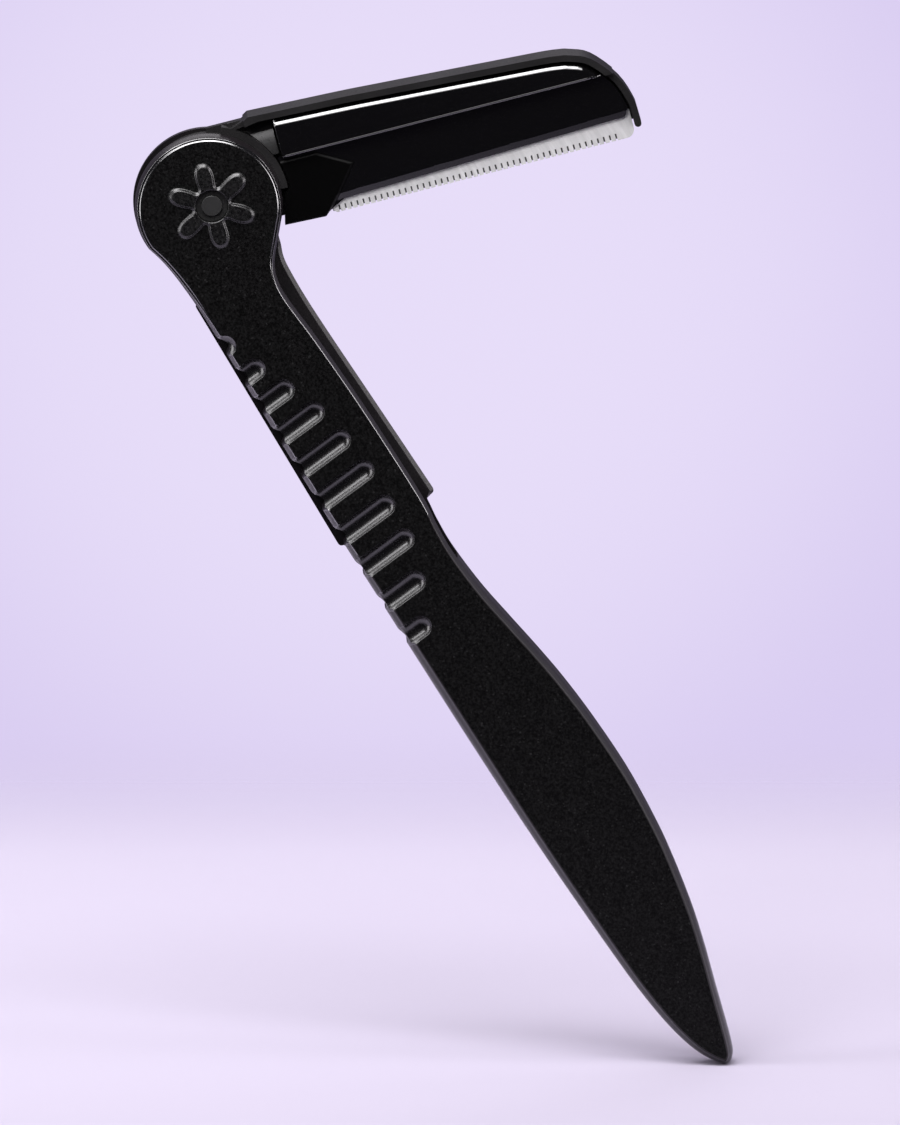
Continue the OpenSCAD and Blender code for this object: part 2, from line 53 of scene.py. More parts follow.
# a curve through the knots: on each span the usual cubic of its four neighbouring knots
def spline(knots, steps):
    k = np.asarray(knots, float)
    t = np.arange(steps)[:, None] / steps
    spans = []
    for a, b, c, d in zip(k[:-3], k[1:-2], k[2:-1], k[3:]):
        spans.append((2 * b + (c - a) * t + (2 * a - 5 * b + 4 * c - d) * t ** 2
                      + (3 * b - a - 3 * c + d) * t ** 3) / 2)
    return np.vstack(spans + [k[-2][None, :]])


# points on a circle's arc, by its angles in degrees
def arcPoints(cx, cy, r, fromDeg, toDeg, count):
    a = np.radians(np.linspace(fromDeg, toDeg, count + 1))
    return np.column_stack([cx + r * np.cos(a), cy + r * np.sin(a)])


# unit normals that point into an anticlockwise ring
def inward(ring):
    t = np.roll(ring[:, :2], -1, 0) - np.roll(ring[:, :2], 1, 0)
    t /= np.maximum(np.linalg.norm(t, axis=1, keepdims=True), 1e-9)
    return np.column_stack([-t[:, 1], t[:, 0]])


# evenly spaced points along a closed or open line, at most the gap apart
def evenly(line, gap, closed=False):
    p = np.vstack([line, line[:1]]) if closed else np.asarray(line, float)
    run = np.concatenate([[0], np.cumsum(np.linalg.norm(np.diff(p[:, :2], axis=0), axis=1))])
    n = max(2, int(math.ceil(run[-1] / gap)))
    s = np.linspace(0, run[-1], n + 1)
    if closed:
        s = s[:-1]
    return np.column_stack([np.interp(s, run, p[:, c]) for c in range(p.shape[1])])


# shortest distance from each point to a polyline
def distanceTo(points, line):
    best = np.full(len(points), 1e9)
    for a, b in zip(line[:-1], line[1:]):
        ab = b - a
        t = np.clip(((points - a) @ ab) / max(ab @ ab, 1e-12), 0, 1)
        best = np.minimum(best, np.linalg.norm(points - a - t[:, None] * ab, axis=1))
    return best


# fall of a quarter-round edge of radius r, at distance d from the edge: r less the circle's height
def roundFall(d, r):
    e = r - np.clip(d, 0, r)
    return r - np.sqrt(np.maximum(r * r - e * e, 0))


# positive part of q with its corner eased over a width e:
# the mean of q and the root of q squared plus e squared
def softPart(q, e):
    return (q + np.sqrt(q * q + e * e)) / 2


# eased step from a to b: with t the share of the way, three t squared less two t cubed
def smoothStep(a, b, x):
    t = np.clip((x - a) / (b - a), 0, 1)
    return t * t * (3 - 2 * t)


# true for points inside a closed ring, by counting the edges that a ray crosses
def insideOf(points, ring):
    x, y = points[:, 0], points[:, 1]
    hit = np.zeros(len(points), bool)
    for (x0, y0), (x1, y1) in zip(ring[:, :2], np.roll(ring[:, :2], -1, 0)):
        crosses = (y0 > y) != (y1 > y)
        if crosses.any():
            hit ^= crosses & (x < (x1 - x0) * (y - y0) / ((y1 - y0) or 1e-12) + x0)
    return hit


# the points that lie inside a closed ring, further from it than the gap
def keptInside(points, ring, gap):
    points = points[insideOf(points, ring)]
    return points[distanceTo(points, np.vstack([ring, ring[:1]])) > gap]


# Helpers for meshes

def toMesh(name, points, faces, materials, slots=None):
    mesh = bpy.data.meshes.new(name)
    mesh.from_pydata((np.asarray(points) * mm).tolist(), [], faces)
    for m in materials:
        mesh.materials.append(m)
    if slots is not None:
        mesh.polygons.foreach_set("material_index", np.asarray(slots, np.int32))
    mesh.polygons.foreach_set("use_smooth", np.ones(len(mesh.polygons), bool))
    mesh.update()
    mesh.validate()
    mesh.set_sharp_from_angle(angle=math.radians(shared["sharpAngle"]))
    obj = bpy.data.objects.new(name, mesh)
    bpy.context.scene.collection.objects.link(obj)
    return obj


# triangles that fill a ring and pass through the inner points; returns the extra points and the faces,
# where indices below the ring's length are the ring's own
def fillRing(ring, inner):
    count = len(ring)
    inner = np.asarray(inner, float).reshape(-1, 2)
    allPoints = np.vstack([ring[:, :2], inner])
    out = delaunay_2d_cdt([Vector(p) for p in allPoints.tolist()], [], [list(range(count))], 1, 1e-5)
    verts, _, faces, origin = out[0], out[1], out[2], out[3]
    index, extra = [], []
    for v, o in zip(verts, origin):
        low = min(o) if o else -1
        if 0 <= low < count:
            index.append(low)
        else:
            index.append(count + len(extra))
            extra.append((v.x, v.y))
    return np.array(extra, float).reshape(-1, 2), [tuple(index[i] for i in f) for f in faces]


# a closed piece: rings stacked from the lowest to the highest, joined by quads, with a filled cap at each
# end; topHeight and lowHeight give the height of each cap's inner points, and paint gives each face its
# material, from its centre and its kind: 0 on the top cap, 1 on the walls and 2 on the low cap
def ringSolid(name, rings, materials, topInner=(), topHeight=None, lowInner=(), lowHeight=None, paint=None):
    n, m = len(rings), len(rings[0])
    points = [np.vstack(rings)]
    i = np.arange(m)
    j = (i + 1) % m
    faces, slots = [], None
    for k in range(n - 1):
        quads = np.column_stack([k * m + i, k * m + j, (k + 1) * m + j, (k + 1) * m + i])
        faces += [tuple(q) for q in quads.tolist()]
    top, topFaces = fillRing(rings[-1], topInner)
    z = topHeight(top) if topHeight is not None and len(top) else np.full(len(top), rings[-1][0, 2])
    base = (n - 1) * m
    start = n * m
    faces += [tuple(base + v if v < m else start + v - m for v in f) for f in topFaces]
    points.append(np.column_stack([top, z]))
    low, lowFaces = fillRing(rings[0], lowInner)
    z = lowHeight(low) if lowHeight is not None and len(low) else np.full(len(low), rings[0][0, 2])
    start += len(top)
    faces += [tuple((v if v < m else start + v - m) for v in reversed(f)) for f in lowFaces]
    points.append(np.column_stack([low, z]))
    points = np.vstack(points)
    if paint is not None:
        centres = np.array([points[list(f)].mean(0) for f in faces])
        kind = np.zeros(len(faces), int)
        kind[: (n - 1) * m] = 1
        kind[(n - 1) * m + len(topFaces):] = 2
        slots = paint(centres, kind)
    return toMesh(name, points, faces, materials, slots)


# a merged copy of a CAD node; its sharp edges are rounded where a width is given
def easedCopy(node, name, material, width):
    angle = math.radians(shared["easeAngle"])
    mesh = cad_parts[node].data.copy()
    mesh.name = name
    mesh.materials.clear()
    mesh.materials.append(material)
    mesh.polygons.foreach_set("material_index", np.zeros(len(mesh.polygons), np.int32))
    bm = bmesh.new()
    bm.from_mesh(mesh)
    bmesh.ops.remove_doubles(bm, verts=bm.verts, dist=shared["mergeGap"])
    flat = math.radians(shared["flatAngle"])
    bmesh.ops.dissolve_limit(bm, angle_limit=flat, verts=bm.verts, edges=bm.edges)
    bm.to_mesh(mesh)
    bm.free()
    mesh.polygons.foreach_set("use_smooth", np.ones(len(mesh.polygons), bool))
    mesh.set_sharp_from_angle(angle=angle)
    obj = bpy.data.objects.new(name, mesh)
    bpy.context.scene.collection.objects.link(obj)
    if width:
        bevel = obj.modifiers.new("roundedEdges", "BEVEL")
        bevel.width = width * mm
        bevel.segments = shared["easeSegments"]
        bevel.limit_method = "ANGLE"
        bevel.angle_limit = angle
        bevel.use_clamp_overlap = True
        bevel.harden_normals = True
    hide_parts(node)
    return obj


# Materials

# a Principled material; a socket's name is given with underscores for its spaces
def newMaterial(name, **values):
    mat = bpy.data.materials.new(name)
    mat.use_nodes = True
    shader = mat.node_tree.nodes["Principled BSDF"]
    for socket, value in values.items():
        shader.inputs[socket.replace("_", " ")].default_value = value
    return mat, mat.node_tree, shader


# a node, with its inputs or settings given by name
def addNode(tree, kind, **values):
    node = tree.nodes.new(kind)
    for key, value in values.items():
        if key in node.inputs:
            node.inputs[key].default_value = value
        else:
            setattr(node, key, value)
    return node


# noise on Object coordinates; size is the grain in millimetres
def addNoise(tree, coord, size, detail=2.0, roughness=0.5):
    node = addNode(tree, "ShaderNodeTexNoise", Scale=1000.0 / size, Detail=detail, Roughness=roughness)
    tree.links.new(coord.outputs["Object"], node.inputs["Vector"])
    return node


# a colour ramp from (place, colour) stops
def addRamp(tree, source, stops):
    node = tree.nodes.new("ShaderNodeValToRGB")
    ramp = node.color_ramp
    while len(ramp.elements) < len(stops):
        ramp.elements.new(0.5)
    for element, (place, colour) in zip(ramp.elements, stops):
        element.position = place
        element.color = colour if len(colour) == 4 else (*colour, 1)
    tree.links.new(source, node.inputs["Fac"])
    return node


# a bump of the given depth in millimetres, on top of another where one is given
def addBump(tree, height, strength, depth, under=None):
    node = addNode(tree, "ShaderNodeBump", Strength=strength, Distance=depth * mm)
    tree.links.new(height, node.inputs["Height"])
    if under is not None:
        tree.links.new(under.outputs["Normal"], node.inputs["Normal"])
    return node


# how far along an axis each point lies
def addDot(tree, source, axis):
    node = addNode(tree, "ShaderNodeVectorMath", operation="DOT_PRODUCT")
    node.inputs[1].default_value = axis
    tree.links.new(source, node.inputs[0])
    return node


# a value mapped from one range to another
def addRange(tree, source, fromMin, fromMax, toMin=0.0, toMax=1.0, kind="SMOOTHSTEP"):
    node = addNode(tree, "ShaderNodeMapRange", interpolation_type=kind)
    for key, value in (("From Min", fromMin), ("From Max", fromMax), ("To Min", toMin), ("To Max", toMax)):
        node.inputs[key].default_value = value
    tree.links.new(source, node.inputs["Value"])
    return node


# a grey of level v; the second value pushes it slightly to red and blue, as a painted reflection of the
# lilac surroundings
def grey(v, paintedLilac=0.0):
    return (v * (1 + paintedLilac), v, v * (1 + paintedLilac * 0.8), 1)


# moulded black with a fine leathery grain and a faint sparkle, which is painted glints: a few random cells
# of lighter colour
def grainedBlack(name, base, rough, depth, paintedSparkle, shineLevel):
    mat, tree, shader = newMaterial(name, Roughness=rough, Specular_IOR_Level=shineLevel)
    coord = tree.nodes.new("ShaderNodeTexCoord")
    pebbles = addNoise(tree, coord, 0.3, 3.0, 0.75)
    fine = addNoise(tree, coord, 0.2, 2.0, 0.6)
    cells = addNode(tree, "ShaderNodeTexVoronoi", Scale=1000 / 0.2)
    tree.links.new(coord.outputs["Object"], cells.inputs["Vector"])
    tone = addRamp(tree, pebbles.outputs["Fac"], [(0.4, grey(base * 0.2)), (0.64, grey(base * 3.0))])
    # painted glints: lighter colour on a few random cells stands in for the grain's glints
    paintedGlints = addRamp(tree, cells.outputs["Color"], [(0.84, grey(0.0)), (0.97, grey(paintedSparkle))])
    both = addNode(tree, "ShaderNodeMix", data_type="RGBA", blend_type="ADD")
    both.inputs["Factor"].default_value = 1.0
    tree.links.new(tone.outputs["Color"], both.inputs["A"])
    tree.links.new(paintedGlints.outputs["Color"], both.inputs["B"])
    tree.links.new(both.outputs["Result"], shader.inputs["Base Color"])
    shine = addRamp(tree, fine.outputs["Fac"], [(0.3, grey(rough - 0.06)), (0.7, grey(rough + 0.14))])
    tree.links.new(shine.outputs["Color"], shader.inputs["Roughness"])
    first = addBump(tree, pebbles.outputs["Fac"], 0.9, depth)
    second = addBump(tree, fine.outputs["Fac"], 0.6, depth * 0.5, first)
    tree.links.new(second.outputs["Normal"], shader.inputs["Normal"])
    return mat


# a satin finish: slow changes of tone, with fine changes of shine and a fine bump; its push to red and blue
# is a painted reflection of the lilac surroundings
def satinBlack(name, base, rough, depth=0.01, paintedLilac=0.0, shineLevel=0.5, index=1.5):
    mat, tree, shader = newMaterial(name, Roughness=rough, Specular_IOR_Level=shineLevel, IOR=index)
    coord = tree.nodes.new("ShaderNodeTexCoord")
    slow = addNoise(tree, coord, 6.0, 3.0, 0.5)
    fine = addNoise(tree, coord, 0.25, 3.0, 0.6)
    stops = [(0.3, grey(base * 0.8, paintedLilac)), (0.7, grey(base * 1.25, paintedLilac))]
    tone = addRamp(tree, slow.outputs["Fac"], stops)
    tree.links.new(tone.outputs["Color"], shader.inputs["Base Color"])
    shine = addRamp(tree, fine.outputs["Fac"], [(0.3, grey(rough * 0.85)), (0.7, grey(rough * 1.2))])
    tree.links.new(shine.outputs["Color"], shader.inputs["Roughness"])
    bump = addBump(tree, fine.outputs["Fac"], 0.4, depth)
    tree.links.new(bump.outputs["Normal"], shader.inputs["Normal"])
    return mat


# polished black, with the slight waves of a moulded face and a coat
def glossBlack(name, base, rough, waves, coat, shineLevel):
    mat, tree, shader = newMaterial(name, Roughness=rough, Specular_IOR_Level=shineLevel, Coat_Weight=coat,
                                    Coat_Roughness=0.04)
    coord = tree.nodes.new("ShaderNodeTexCoord")
    slow = addNoise(tree, coord, 9.0, 1.0, 0.4)
    dust = addNoise(tree, coord, 0.3, 2.0, 0.5)
    tone = addRamp(tree, dust.outputs["Fac"], [(0.3, grey(base * 0.8)), (0.8, grey(base * 1.4))])
    tree.links.new(tone.outputs["Color"], shader.inputs["Base Color"])
    bump = addBump(tree, slow.outputs["Fac"], 0.5, waves)
    tree.links.new(bump.outputs["Normal"], shader.inputs["Normal"])
    return mat


# ground steel: fine marks stretched one way in the arm's own directions, and small changes of shine
def groundSteel(name, tone, rough, metal, stretch, depth):
    mat, tree, shader = newMaterial(name, Metallic=metal, Roughness=rough)
    coord = tree.nodes.new("ShaderNodeTexCoord")
    turn = addNode(tree, "ShaderNodeMapping")
    turn.inputs["Rotation"].default_value = (0, 0, -math.radians(shared["armTurn"]))
    turn.inputs["Scale"].default_value = stretch
    tree.links.new(coord.outputs["Object"], turn.inputs["Vector"])
    marks = addNode(tree, "ShaderNodeTexNoise", Scale=1000 / 0.3, Detail=3.0)
    tree.links.new(turn.outputs["Vector"], marks.inputs["Vector"])
    shade = addRamp(tree, marks.outputs["Fac"], [(0.3, grey(tone * 0.9)), (0.7, grey(tone * 1.03))])
    tree.links.new(shade.outputs["Color"], shader.inputs["Base Color"])
    shine = addRamp(tree, marks.outputs["Fac"], [(0.3, grey(rough * 0.85)), (0.7, grey(rough * 1.2))])
    tree.links.new(shine.outputs["Color"], shader.inputs["Roughness"])
    bump = addBump(tree, marks.outputs["Fac"], 0.3, depth)
    tree.links.new(bump.outputs["Normal"], shader.inputs["Normal"])
    return mat


finish = dict(
    face=grainedBlack("grainedFace", 0.0026, 0.46, 0.05, 0.014, 0.08),
    # walls, ledge and rim: their slight push to red and blue is a painted reflection of the lilac
    # surroundings
    wall=satinBlack("satinWall", 0.008, 0.34, 0.006, 0.2, 0.35),
    edge=satinBlack("polishedEdge", 0.004, 0.16, 0.002, 0.0, 1.0, 1.9),
    groove=satinBlack("polishedGroove", 0.003, 0.24, 0.003, 0.0, 1.0),
    flower=grainedBlack("flowerBlack", 0.004, 0.26, 0.012, 0.02, 0.7),
    back=grainedBlack("grainedBack", 0.007, 0.46, 0.03, 0.02, 0.2),
    ledge=satinBlack("satinLedge", 0.006, 0.32, 0.006, 0.15, 0.35),
    rim=satinBlack("satinRim", 0.014, 0.4, 0.012, 0.03, 0.13),
    cover=glossBlack("glossCover", 0.002, 0.06, 0.05, 0.8, 0.8),
    heel=glossBlack("glossHeel", 0.0012, 0.34, 0.03, 0.0, 0.12),
    root=satinBlack("satinRoot", 0.02, 0.3, 0.01, 0.0, 0.7),
    blade=groundSteel("groundBlade", 0.16, 0.35, 1.0, (1.0, 0.1, 1.0), 0.004),
    guard=groundSteel("brightGuard", 0.86, 0.42, 0.45, (0.1, 1.0, 1.0), 0.003),
    pin=satinBlack("blackenedPin", 0.022, 0.45, 0.006, 0.0, 0.3),
    collar=satinBlack("blackenedCollar", 0.01, 0.5, 0.006),
    washer=satinBlack("whiteWasher", 0.6, 0.45, 0.004),
)
print("materials made")


# Handle

handle = dict(
    reach=118.0, bellyH=7.4, thick=5.2, rearT=1.2, slotTop=3.8, marginW=1.0,
    headR=8.6, headX=0.1, headY=-0.42, headFrom=52.0, headTo=276.0, coarseSteps=28, fineSteps=224,
    neckLow=[(0.137, -1.036, 0.35), (0.343, -0.978, 0.36), (0.576, -0.938, 0.40), (0.878, -0.908, 0.45)],
    lowerEdge=[(0.090, -1.030, 0.50), (0.135, -1.020, 0.60), (0.200, -1.015, 0.68), (0.290, -1.000, 0.68),
               (0.360, -0.980, 0.75), (0.420, -0.955, 0.85), (0.490, -0.930, 0.95), (0.590, -0.890, 1.00),
               (0.680, -0.840, 0.95), (0.760, -0.777, 0.90), (0.850, -0.683, 0.85), (0.900, -0.610, 0.85),
               (0.940, -0.507, 0.85), (0.970, -0.373, 0.85), (0.990, -0.204, 0.80), (1.001, -0.030, 0.80)],
    upperEdge=[(0.996, 0.125, 0.65), (0.981, 0.223, 0.55), (0.930, 0.440, 0.50), (0.890, 0.613, 0.50),
               (0.850, 0.760, 0.48), (0.800, 0.890, 0.45), (0.760, 0.960, 0.42), (0.700, 1.000, 0.42),
               (0.640, 0.955, 0.42), (0.590, 0.873, 0.42), (0.550, 0.770, 0.42), (0.510, 0.648, 0.42),
               (0.466, 0.520, 0.42), (0.420, 0.445, 0.40), (0.390, 0.448, 0.38), (0.352, 0.482, 0.36),
               (0.250, 0.434, 0.36), (0.170, 0.352, 0.36), (0.120, 0.275, 0.36), (0.100, 0.285, 0.36)],
    neckUp=[(1.180, 0.305, 0.36), (1.015, 0.413, 0.36), (0.851, 0.553, 0.36), (0.700, 0.679, 0.36)],
    edgeFillet=0.22, headFillet=0.46, filletH=0.2, polishedTo=44.0, spacing=0.16,
    headFull=7.0, headEnds=13.0, wallRings=16, wallSpread=1.6, wallFrom=1.0,
    # the face's edge, plain and with the head's double line: shares of the fillet's width and height
    plainEdge=[(0.05, 0.31), (0.19, 0.59), (0.29, 0.71), (0.41, 0.81), (0.52, 0.88), (0.69, 0.95),
               (0.84, 0.99), (1.0, 1.0)],
    doubleEdge=[(0.03, 0.16), (0.09, 0.28), (0.16, 0.33), (0.46, 0.38), (0.55, 0.45), (0.68, 0.70),
                (0.80, 0.92), (1.0, 1.0)],
)
grip = dict(
    ends=[(0.1275, -0.78), (0.162, -0.57), (0.194, -0.345), (0.228, -0.125), (0.265, 0.005),
          (0.303, 0.072), (0.3435, 0.07), (0.382, 0.058), (0.424, -0.13), (0.466, -0.415)],
    width=2.6, depth=0.8, lean=6.5, rimSoft=0.09, reach=4.5, fadeFrom=0.25, fadeTo=0.5, paintFrom=0.06,
    legLength=9.0, legStep=0.18, belowY=5.0, deepScallops=7, scallopR=1.25, scallopD=0.9, lateScallopD=0.5,
)
flower = dict(count=6, turn=44.0, tipR=5.2, innerR=0.95, width=2.2, height=0.3, ringR=2.25, recessR=1.9,
              floorZ=4.6, bevel=0.34, blendR=0.5, power=2.4, rootShare=0.9, growth=0.2, lipR=0.12,
              around=0.5)


# the outline's lower and upper sides, from the head's left end to the tip: the head's arc, then the curve
# through the edge's knots, with the margin's width as the third column
def handleSides():
    h = handle
    margin = h["neckLow"][0][2] * h["marginW"]
    coarse = arcPoints(h["headX"], h["headY"], h["headR"], h["headFrom"], h["headTo"], h["coarseSteps"])
    coarse = np.column_stack([coarse, np.full(len(coarse), margin)])
    fine = arcPoints(h["headX"], h["headY"], h["headR"], h["headFrom"], h["headTo"], h["fineSteps"])
    fine = np.column_stack([fine, np.full(len(fine), margin)])
    neckScale = (h["headR"], h["headR"], h["marginW"])
    edgeScale = (h["reach"], h["bellyH"], h["marginW"])
    knots = np.vstack([np.array(h["neckLow"]) * neckScale, np.array(h["lowerEdge"]) * edgeScale,
                       np.array(h["upperEdge"]) * edgeScale, np.array(h["neckUp"]) * neckScale])
    steps = shared["curveSteps"]
    edge = spline(np.vstack([coarse[-1], knots, coarse[:2]]), steps)
    tip = (len(h["neckLow"]) + len(h["lowerEdge"]) - 1) * steps
    left = int(np.argmin(fine[:, 0]))
    low = np.vstack([fine[left:], edge[:tip + 1]])
    up = np.vstack([fine[:left + 1][::-1], edge[tip:-1][::-1]])
    return low, up


lowSide, upSide = handleSides()


def lowerEdgeAt(x):
    return np.interp(x, lowSide[:, 0], lowSide[:, 1])


def upperEdgeAt(x):
    return np.interp(x, upSide[:, 0], upSide[:, 1])


# the closed outline, drawn in by the skin
def handleOutline():
    ring = evenly(np.vstack([lowSide, upSide[::-1][1:-1]]), handle["spacing"], closed=True)
    ring[:, :2] += shared["skin"] * inward(ring)
    return ring


# where a groove's middle line starts, inside its closed end
def grooveStart(i):
    x, y = grip["ends"][i]
    return np.array([x * handle["reach"], y * handle["bellyH"] - grip["width"] / 2])


# the way that the grooves run, towards the lower edge
def grooveAlong():
    a = math.radians(grip["lean"])
    return np.array([math.sin(a), -math.cos(a)])


# distance of each point from a groove's middle line, which has no end on the lower edge's side
def grooveAcross(points, i):
    along = grooveAlong()
    d = points - grooveStart(i)
    s = np.maximum(d @ along, 0)
    return np.linalg.norm(d - s[:, None] * along, axis=1)


# depth of the grooves: a round trough's circle less its rim, with the rim eased by a root of squares and
# faded out just past it
def grooveDepth(points):
    half, deep = grip["width"] / 2, grip["depth"]
    r = (half ** 2 + deep ** 2) / (2 * deep)
    total = np.zeros(len(points))
    for i in range(len(grip["ends"])):
        near = np.abs(points[:, 0] - grooveStart(i)[0]) < grip["reach"]
        if not near.any():
            continue
        n = grooveAcross(points[near], i)
        cut = deep - r + np.sqrt(np.maximum(r * r - n * n, 0)) - np.maximum(n - r, 0)
        fade = smoothStep(half + grip["fadeFrom"], half + grip["fadeTo"], n)
        soft = softPart(cut, grip["rimSoft"]) * (1 - fade)
        total[near] = np.maximum(total[near], soft)
    return total


# where a groove's middle line meets the lower edge
def scallopX(i):
    x, y = grooveStart(i)
    return x + (y - lowerEdgeAt(x)) * math.tan(math.radians(grip["lean"]))


# the notches in the lower edge: each point below a notch's arc is lifted on to it
def notched(ring, which):
    out = ring.copy()
    for i in which:
        x = scallopX(i)
        d = grip["scallopD"] if i < grip["deepScallops"] else grip["lateScallopD"]
        top = lowerEdgeAt(x) + d - grip["scallopR"]
        off = out[:, 0] - x
        inReach = (np.abs(off) < grip["scallopR"]) & (out[:, 1] < 0)
        arc = top + np.sqrt(np.maximum(grip["scallopR"] ** 2 - off ** 2, 0))
        out[:, 1] = np.where(inReach, np.maximum(out[:, 1], arc), out[:, 1])
    return out


# signed distance to the flower, nearly: the disc round the pin and the petals' ovals, blended by a
# smooth minimum
def flowerDistance(points):
    f = flower
    r = np.hypot(points[:, 0], points[:, 1])
    step = 2 * math.pi / f["count"]
    a = np.arctan2(points[:, 1], points[:, 0]) - math.radians(f["turn"])
    a = (a + step / 2) % step - step / 2
    u, v = r * np.cos(a), r * np.sin(a)
    mid, half = (f["innerR"] + f["tipR"]) / 2, (f["tipR"] - f["innerR"]) / 2
    swell = f["rootShare"] + f["growth"] * np.clip((u - f["innerR"]) / (2 * half), 0, 1)
    q = f["power"]
    e = (np.abs((u - mid) / half) ** q + np.abs(v / (f["width"] / 2 * swell)) ** q) ** (1 / q)
    petal = (e - 1) * f["width"] / 2
    disc = r - f["ringR"]
    k = f["blendR"]
    h = np.clip(0.5 + 0.5 * (petal - disc) / k, 0, 1)
    return petal * (1 - h) + disc * h - k * h * (1 - h)


# the face's height: flat, less the grooves, plus the flower, with the pin's recess in the middle
def faceHeight(points):
    z = handle["thick"] - grooveDepth(points)
    r = np.hypot(points[:, 0], points[:, 1])
    z += flower["height"] * smoothStep(0, flower["bevel"], -flowerDistance(points))
    lip = roundFall(r - flower["recessR"], flower["lipR"])
    z = np.where(r < flower["recessR"] + flower["lipR"], z - lip, z)
    return np.where(r < flower["recessR"] - 0.005, flower["floorZ"], z)


# the face's inner points: two lines inside its edge, lines beside each groove's rim, and rings round the
# flower
def faceInner(top, base, fillet, ring):
    inner = []
    normal = inward(ring)
    which = range(len(grip["ends"]))
    for d in (0.1, 0.3):
        moved = np.column_stack([base + (fillet + d)[:, None] * normal, ring[:, 2]])
        inner.append(notched(moved, which)[:, :2] + d * normal * 0.2)
    half = grip["width"] / 2
    along = grooveAlong()
    side = np.array([-along[1], along[0]])
    legs = np.arange(0, grip["legLength"], grip["legStep"])[:, None]
    turn = np.radians(np.linspace(0, 180, 27))
    offsets = (0.4, 0.28, 0.18, 0.1, 0.04, -0.02, -0.08, -0.16, -0.28, -0.45, -0.7, -1.0)
    for i in which:
        p = grooveStart(i)
        for n in half + np.array(offsets):
            bow = p + n * (np.cos(turn)[:, None] * side - np.sin(turn)[:, None] * along)
            inner += [p + n * side + legs * along, bow, p - n * side + legs * along]
        inner.append(p + legs * along)
    spread = np.arange(flower["recessR"] + 0.02, flower["tipR"] + flower["around"], 0.07)
    for r in np.concatenate([[0.6, 1.2, flower["recessR"] - 0.02], spread]):
        a = np.radians(np.arange(0, 360, max(0.9, 4.2 / r)))
        inner.append(np.column_stack([r * np.cos(a), r * np.sin(a)]))
    return keptInside(np.vstack(inner), top, 0.05)


def buildFrontShell():
    h = handle
    ring = handleOutline()
    normal = inward(ring)
    headLike = smoothStep(h["headEnds"], h["headFull"], ring[:, 0])
    fillet = h["edgeFillet"] + (h["headFillet"] - h["edgeFillet"]) * headLike
    faceEdge = h["thick"] - h["filletH"]
    rings = []
    # walls: the margin's share is one less the fourth power of what is left of the drop
    for drop in (1 - np.linspace(0, 1, h["wallRings"]) ** h["wallSpread"]):
        share = 1 - (1 - drop) ** 4
        xy = ring[:, :2] + ((1 - share) * ring[:, 2])[:, None] * normal
        rings.append(np.column_stack([xy, np.full(len(xy), faceEdge - (faceEdge - h["rearT"]) * drop)]))
    base = rings[-1][:, :2].copy()
    for (plainW, plainH), (doubleW, doubleH) in zip(h["plainEdge"], h["doubleEdge"]):
        w = plainW + (doubleW - plainW) * headLike
        z = faceEdge + h["filletH"] * (plainH + (doubleH - plainH) * headLike)
        rings.append(np.column_stack([base + (fillet * w)[:, None] * normal, z]))
    for k, r in enumerate(rings):
        r = notched(r, range(len(grip["ends"])))
        r[:, 2] = np.minimum(r[:, 2], h["thick"] - grooveDepth(r[:, :2]) * (r[:, 1] < grip["belowY"]))
        rings[k] = r
    inner = faceInner(rings[-1][:, :2], base, fillet, ring)

    def paint(centres, kind):
        xy = centres[:, :2]
        slots = np.where(kind == 1, 1, 0)
        slots = np.where(grooveDepth(xy) > grip["paintFrom"], 2, slots)
        slots = np.where((kind == 1) & (centres[:, 2] < h["thick"] - h["wallFrom"]), 1, slots)
        polished = (slots == 1) & (centres[:, 2] > faceEdge - 0.01) & (centres[:, 0] < h["polishedTo"])
        slots = np.where(polished, 4, slots)
        near = np.hypot(xy[:, 0], xy[:, 1]) < flower["tipR"] + flower["around"]
        slots = np.where(near & (kind == 0) & (flowerDistance(xy) < 0.0), 3, slots)
        return np.where(kind == 2, 1, slots)

    names = ("face", "wall", "groove", "flower", "edge")
    shell = ringSolid("frontShell", rings, [finish[n] for n in names], inner, faceHeight, paint=paint)
    cutSlot(shell)
    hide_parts("front_shell")
    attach(shell, "handle")
    print("front shell", len(shell.data.polygons))
    return shell


slotRoom = dict(hubR=10.4, endR=50.532, floorY=-5.699, overrun=0.5, hubFrom=-60, endTo=15,
                corners=[(12, 13), (-13, 13), (-13, -12)])


# the slot for the arm and the room for the hub, cut from the shell's back
def cutSlot(shell):
    s = slotRoom
    fromHub = math.degrees(math.asin(s["floorY"] / s["hubR"]))
    fromEnd = math.degrees(math.asin(s["floorY"] / s["endR"]))
    cut = np.vstack([arcPoints(0, 0, s["hubR"], s["hubFrom"], fromHub, 12),
                     arcPoints(0, 0, s["endR"], fromEnd, s["endTo"], 24), s["corners"]])
    levels = (handle["rearT"] - s["overrun"], handle["slotTop"])
    cutter = ringSolid("slotCutter", [np.column_stack([cut, np.full(len(cut), z)]) for z in levels],
                       [finish["wall"]], paint=lambda centres, kind: np.zeros(len(centres), int))
    tool = shell.modifiers.new("slot", "BOOLEAN")
    tool.operation, tool.solver, tool.object = "DIFFERENCE", "EXACT", cutter
    bpy.context.view_layer.update()
    done = bpy.data.meshes.new_from_object(shell.evaluated_get(bpy.context.evaluated_depsgraph_get()))
    shell.modifiers.clear()
    shell.data = done
    done.name = "frontShell"
    done.set_sharp_from_angle(angle=math.radians(shared["sharpAngle"]))
    bpy.data.objects.remove(cutter)


rear = dict(
    ledgeNeck=[(0.851, 0.553), (1.036, 0.487), (1.207, 0.431)],
    ledge=[(0.105, 0.478), (0.135, 0.474), (0.180, 0.500), (0.270, 0.572), (0.3645, 0.645)],
    endShare=0.3645, corner=0.5, bevelW=0.45, bevelH=0.35, lipShare=1.075, lipFrom=0.085, backBevel=0.48,
    rivetR=2.22, rivetDepth=0.6, rivetRings=(2.2, 2.24, 2.4), spacing=0.2, faceGap=0.005,
)


